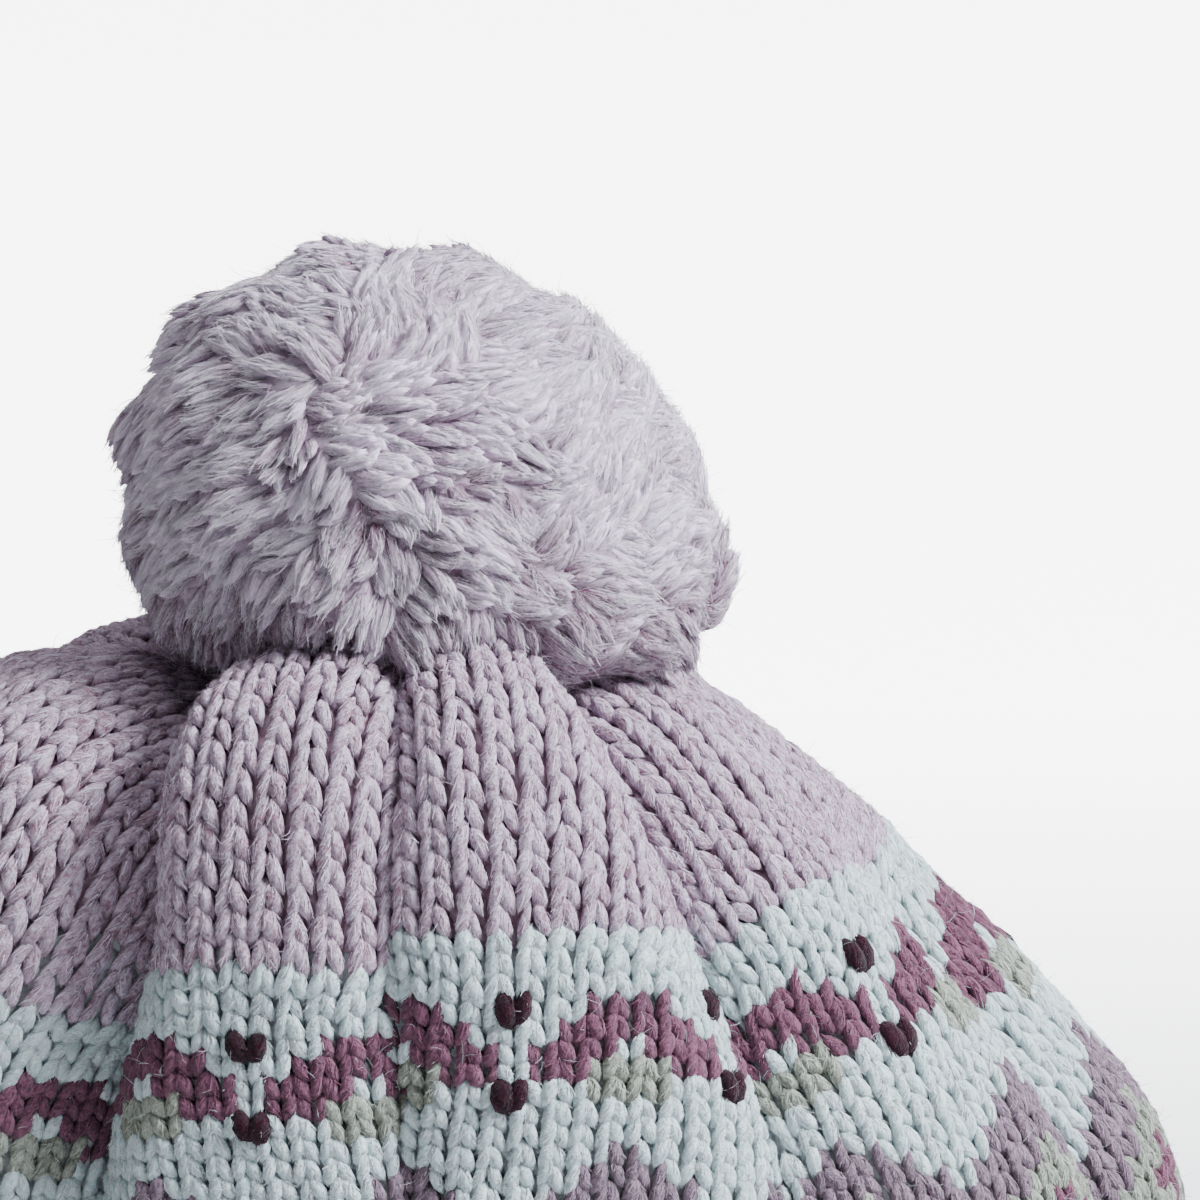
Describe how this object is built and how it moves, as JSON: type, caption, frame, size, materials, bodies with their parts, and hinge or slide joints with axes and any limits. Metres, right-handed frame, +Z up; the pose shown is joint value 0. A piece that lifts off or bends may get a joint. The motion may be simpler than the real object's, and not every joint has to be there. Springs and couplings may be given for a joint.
{
  "type": "knitted pompom beanie",
  "caption": "Soft knitted beanie: a lobed crown gathered under a pompom, a patterned body and a ribbed brim that stands on its edge, open below for a head.",
  "frame": {"origin": "centre of the bounding box at its base, on the surface that the brim edge rests on", "axes": "+Z up through the gather and the pompom, -Y out of the front that the picture shows, +X to the right in the picture"},
  "size_m": [0.2241, 0.1242, 0.2168],
  "materials": {
    "crown_yarn": "matt",
    "body_yarn": "matt",
    "rib_yarn": "matt",
    "pompom_yarn": "matt",
    "tie_yarn": "matt"
  },
  "bodies": {
    "root": {"knit_crown": "crown_yarn", "colourwork_body": "body_yarn", "rib_brim": "rib_yarn", "pompom": "pompom_yarn", "pompom_tie": "tie_yarn"}
  },
  "joints": []
}
